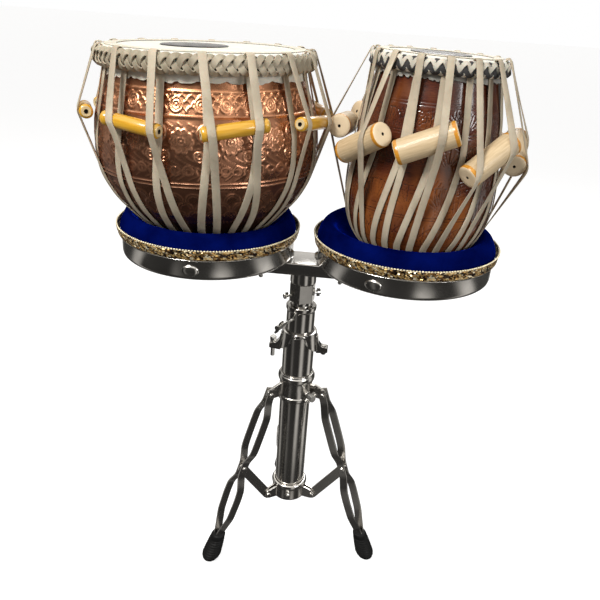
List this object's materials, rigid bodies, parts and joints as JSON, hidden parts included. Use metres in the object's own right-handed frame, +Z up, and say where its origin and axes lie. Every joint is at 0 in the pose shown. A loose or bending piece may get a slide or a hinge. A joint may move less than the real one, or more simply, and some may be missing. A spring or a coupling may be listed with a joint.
{
  "type": "tabla pair on a stand",
  "caption": "Pair of tabla hand drums, a wide copper bass drum and a narrow wooden treble drum, seated on ring cushions in the trays of a folding tripod stand.",
  "frame": {"origin": "bottom centre of the bounding box, on the plane of the three soles", "axes": "+Z up along the column; +X from the bass drum towards the treble drum; -Y towards the player"},
  "size_m": [0.5516, 0.3124, 0.7399],
  "materials": {
    "chrome": "polished chrome plate",
    "steel": "plated steel",
    "rubber": "matt, ribbed",
    "velvet": "royal blue velvet",
    "brocade": "gold and brown glitter weave with a cream beaded edge",
    "copper": "embossed and lacquered copper, darkened towards the bottom",
    "rosewood": "dark red-brown lacquer with incised leaves",
    "skin": "stretched goatskin",
    "rim_skin": "second ring of goatskin",
    "syahi_paste": "polished dark paste",
    "plait": "grey-beige rawhide plait",
    "black_plait": "black and white rawhide plait",
    "strap": "matt pale rawhide strap",
    "lacquered_dowel": "turned wood in yellow lacquer",
    "pale_dowel": "plain turned wood with orange-yellow painted ends"
  },
  "bodies": {
    "base": {"base_tube": "chrome", "lower_collar": "chrome", "lower_collar_screw": "steel", "height_clamp": "chrome"},
    "height_clamp_bolt": {"height_clamp_bolt": "steel"},
    "upper_collar": {"upper_collar": "chrome"},
    "collar_wing_bolt": {"collar_wing_bolt": "steel"},
    "leg_right": {"leg_right": "chrome", "foot_right": "rubber"},
    "brace_right": {"brace_right": "chrome"},
    "leg_rear": {"leg_rear": "chrome", "foot_rear": "rubber"},
    "brace_rear": {"brace_rear": "chrome"},
    "leg_left": {"leg_left": "chrome", "foot_left": "rubber"},
    "brace_left": {"brace_left": "chrome"},
    "mid_tube": {"mid_tube": "chrome"},
    "mid_tube_screw": {"mid_tube_screw": "steel"},
    "top_tube": {"top_tube": "chrome"},
    "top_thumbscrew_left": {"top_thumbscrew_left": "steel"},
    "top_thumbscrew_right": {"top_thumbscrew_right": "steel"},
    "crossbar": {"crossbar": "chrome", "tray_left": "chrome", "tray_right": "chrome", "tray_bolt_left": "steel", "tray_bolt_right": "steel"},
    "cushion_left": {"cushion_left": "velvet", "trim_left": "brocade"},
    "bayan": {"bayan_shell": "copper", "bayan_head": "skin", "bayan_kinar": "rim_skin", "bayan_syahi": "syahi_paste", "bayan_gajra": "plait", "bayan_kundal": "strap", "bayan_lacing": "strap"},
    "bayan_dowel_1": {"bayan_dowel_1": "lacquered_dowel"},
    "bayan_dowel_2": {"bayan_dowel_2": "lacquered_dowel"},
    "bayan_dowel_3": {"bayan_dowel_3": "lacquered_dowel"},
    "bayan_dowel_4": {"bayan_dowel_4": "lacquered_dowel"},
    "bayan_dowel_5": {"bayan_dowel_5": "lacquered_dowel"},
    "bayan_dowel_6": {"bayan_dowel_6": "lacquered_dowel"},
    "bayan_dowel_7": {"bayan_dowel_7": "lacquered_dowel"},
    "bayan_dowel_8": {"bayan_dowel_8": "lacquered_dowel"},
    "cushion_right": {"cushion_right": "velvet", "trim_right": "brocade"},
    "dayan": {"dayan_shell": "rosewood", "dayan_head": "skin", "dayan_kinar": "rim_skin", "dayan_syahi": "syahi_paste", "dayan_gajra": "black_plait", "dayan_kundal": "strap", "dayan_lacing": "strap"},
    "dayan_dowel_1": {"dayan_dowel_1": "pale_dowel"},
    "dayan_dowel_2": {"dayan_dowel_2": "pale_dowel"},
    "dayan_dowel_3": {"dayan_dowel_3": "pale_dowel"},
    "dayan_dowel_4": {"dayan_dowel_4": "pale_dowel"},
    "dayan_dowel_5": {"dayan_dowel_5": "pale_dowel"},
    "dayan_dowel_6": {"dayan_dowel_6": "pale_dowel"},
    "dayan_dowel_7": {"dayan_dowel_7": "pale_dowel"},
    "dayan_dowel_8": {"dayan_dowel_8": "pale_dowel"}
  },
  "joints": [
    {"name": "height_clamp_bolt_turn", "type": "hinge", "parent": "base", "child": "height_clamp_bolt", "pos_m": [-0.0238, 0, 0.342], "axis": [0, 0, 1], "continuous": true},
    {"name": "collar_slide", "type": "slide", "parent": "base", "child": "upper_collar", "axis": [0, 0, 1], "range_m": [0, 0.0199]},
    {"name": "collar_wing_bolt_turn", "type": "hinge", "parent": "upper_collar", "child": "collar_wing_bolt", "pos_m": [0.0132, 0, 0.266], "axis": [0.6691, -0.7431, 0], "continuous": true},
    {"name": "leg_right_pivot", "type": "hinge", "parent": "upper_collar", "child": "leg_right", "pos_m": [0.05532, -0.01583, 0.266], "axis": [0.3518, 0.9361, 0], "range_deg": [0, 15.8]},
    {"name": "brace_right_pivot", "type": "hinge", "parent": "base", "child": "brace_right", "pos_m": [0.05158, -0.01443, 0.081], "axis": [0.3518, 0.9361, 0], "range_deg": [-25.2, 0]},
    {"name": "leg_rear_pivot", "type": "hinge", "parent": "upper_collar", "child": "leg_rear", "pos_m": [0.00585, 0.0444, 0.266], "axis": [-0.9866, -0.1633, 0], "range_deg": [0, 15.8]},
    {"name": "brace_rear_pivot", "type": "hinge", "parent": "base", "child": "brace_rear", "pos_m": [0.0065, 0.04045, 0.081], "axis": [-0.9866, -0.1633, 0], "range_deg": [-25.2, 0]},
    {"name": "leg_left_pivot", "type": "hinge", "parent": "upper_collar", "child": "leg_left", "pos_m": [-0.02157, -0.02856, 0.266], "axis": [0.6347, -0.7727, 0], "range_deg": [0, 15.8]},
    {"name": "brace_left_pivot", "type": "hinge", "parent": "base", "child": "brace_left", "pos_m": [-0.01848, -0.02602, 0.081], "axis": [0.6347, -0.7727, 0], "range_deg": [-25.2, 0]},
    {"name": "mid_tube_slide", "type": "slide", "parent": "base", "child": "mid_tube", "axis": [0, 0, 1], "range_m": [-0.019, 0.1]},
    {"name": "mid_tube_screw_turn", "type": "hinge", "parent": "mid_tube", "child": "mid_tube_screw", "pos_m": [0.0132, 0, 0.385], "axis": [-0.4695, -0.8829, 0], "continuous": true},
    {"name": "top_tube_slide", "type": "slide", "parent": "mid_tube", "child": "top_tube", "axis": [0, 0, 1], "range_m": [-0.005, 0.05]},
    {"name": "top_thumbscrew_left_turn", "type": "hinge", "parent": "top_tube", "child": "top_thumbscrew_left", "pos_m": [0.0132, 0, 0.416], "axis": [-0.8829, -0.4695, 0], "continuous": true},
    {"name": "top_thumbscrew_right_turn", "type": "hinge", "parent": "top_tube", "child": "top_thumbscrew_right", "pos_m": [0.0132, 0, 0.416], "axis": [0.8829, 0.4695, 0], "continuous": true},
    {"name": "crossbar_swivel", "type": "hinge", "parent": "top_tube", "child": "crossbar", "pos_m": [0.0132, 0, 0.442], "axis": [0, 0, 1], "continuous": true},
    {"name": "cushion_left_lift", "type": "slide", "parent": "crossbar", "child": "cushion_left", "axis": [0, 0, 1], "range_m": [0, 0.05]},
    {"name": "bayan_lift", "type": "slide", "parent": "cushion_left", "child": "bayan", "axis": [0, 0, 1], "range_m": [0, 0.12]},
    {"name": "bayan_dowel_1_slide", "type": "slide", "parent": "bayan", "child": "bayan_dowel_1", "axis": [-0.0209, 0, 0.9998], "range_m": [-0.008, 0.008], "deforming": ["bayan_lacing"]},
    {"name": "bayan_dowel_2_slide", "type": "slide", "parent": "bayan", "child": "bayan_dowel_2", "axis": [-0.0209, 0, 0.9998], "range_m": [-0.008, 0.008], "deforming": ["bayan_lacing"]},
    {"name": "bayan_dowel_3_slide", "type": "slide", "parent": "bayan", "child": "bayan_dowel_3", "axis": [-0.0209, 0, 0.9998], "range_m": [-0.008, 0.008], "deforming": ["bayan_lacing"]},
    {"name": "bayan_dowel_4_slide", "type": "slide", "parent": "bayan", "child": "bayan_dowel_4", "axis": [-0.0209, 0, 0.9998], "range_m": [-0.008, 0.008], "deforming": ["bayan_lacing"]},
    {"name": "bayan_dowel_5_slide", "type": "slide", "parent": "bayan", "child": "bayan_dowel_5", "axis": [-0.0209, 0, 0.9998], "range_m": [-0.008, 0.008], "deforming": ["bayan_lacing"]},
    {"name": "bayan_dowel_6_slide", "type": "slide", "parent": "bayan", "child": "bayan_dowel_6", "axis": [-0.0209, 0, 0.9998], "range_m": [-0.008, 0.008], "deforming": ["bayan_lacing"]},
    {"name": "bayan_dowel_7_slide", "type": "slide", "parent": "bayan", "child": "bayan_dowel_7", "axis": [-0.0209, 0, 0.9998], "range_m": [-0.008, 0.008], "deforming": ["bayan_lacing"]},
    {"name": "bayan_dowel_8_slide", "type": "slide", "parent": "bayan", "child": "bayan_dowel_8", "axis": [-0.0209, 0, 0.9998], "range_m": [-0.008, 0.008], "deforming": ["bayan_lacing"]},
    {"name": "cushion_right_lift", "type": "slide", "parent": "crossbar", "child": "cushion_right", "axis": [0, 0, 1], "range_m": [0, 0.05]},
    {"name": "dayan_lift", "type": "slide", "parent": "cushion_right", "child": "dayan", "axis": [0, 0, 1], "range_m": [0, 0.12]},
    {"name": "dayan_dowel_1_slide", "type": "slide", "parent": "dayan", "child": "dayan_dowel_1", "axis": [0.0209, 0, 0.9998], "range_m": [-0.008, 0.008], "deforming": ["dayan_lacing"]},
    {"name": "dayan_dowel_2_slide", "type": "slide", "parent": "dayan", "child": "dayan_dowel_2", "axis": [0.0209, 0, 0.9998], "range_m": [-0.008, 0.008], "deforming": ["dayan_lacing"]},
    {"name": "dayan_dowel_3_slide", "type": "slide", "parent": "dayan", "child": "dayan_dowel_3", "axis": [0.0209, 0, 0.9998], "range_m": [-0.008, 0.008], "deforming": ["dayan_lacing"]},
    {"name": "dayan_dowel_4_slide", "type": "slide", "parent": "dayan", "child": "dayan_dowel_4", "axis": [0.0209, 0, 0.9998], "range_m": [-0.008, 0.008], "deforming": ["dayan_lacing"]},
    {"name": "dayan_dowel_5_slide", "type": "slide", "parent": "dayan", "child": "dayan_dowel_5", "axis": [0.0209, 0, 0.9998], "range_m": [-0.008, 0.008], "deforming": ["dayan_lacing"]},
    {"name": "dayan_dowel_6_slide", "type": "slide", "parent": "dayan", "child": "dayan_dowel_6", "axis": [0.0209, 0, 0.9998], "range_m": [-0.008, 0.008], "deforming": ["dayan_lacing"]},
    {"name": "dayan_dowel_7_slide", "type": "slide", "parent": "dayan", "child": "dayan_dowel_7", "axis": [0.0209, 0, 0.9998], "range_m": [-0.008, 0.008], "deforming": ["dayan_lacing"]},
    {"name": "dayan_dowel_8_slide", "type": "slide", "parent": "dayan", "child": "dayan_dowel_8", "axis": [0.0209, 0, 0.9998], "range_m": [-0.008, 0.008], "deforming": ["dayan_lacing"]}
  ],
  "couplings": [
    {"joint": "leg_right_pivot", "follows": "collar_slide", "rad_per_m": 13.756},
    {"joint": "brace_right_pivot", "follows": "collar_slide", "rad_per_m": -21.913},
    {"joint": "leg_rear_pivot", "follows": "collar_slide", "rad_per_m": 13.756},
    {"joint": "brace_rear_pivot", "follows": "collar_slide", "rad_per_m": -21.913},
    {"joint": "leg_left_pivot", "follows": "collar_slide", "rad_per_m": 13.756},
    {"joint": "brace_left_pivot", "follows": "collar_slide", "rad_per_m": -21.913}
  ]
}
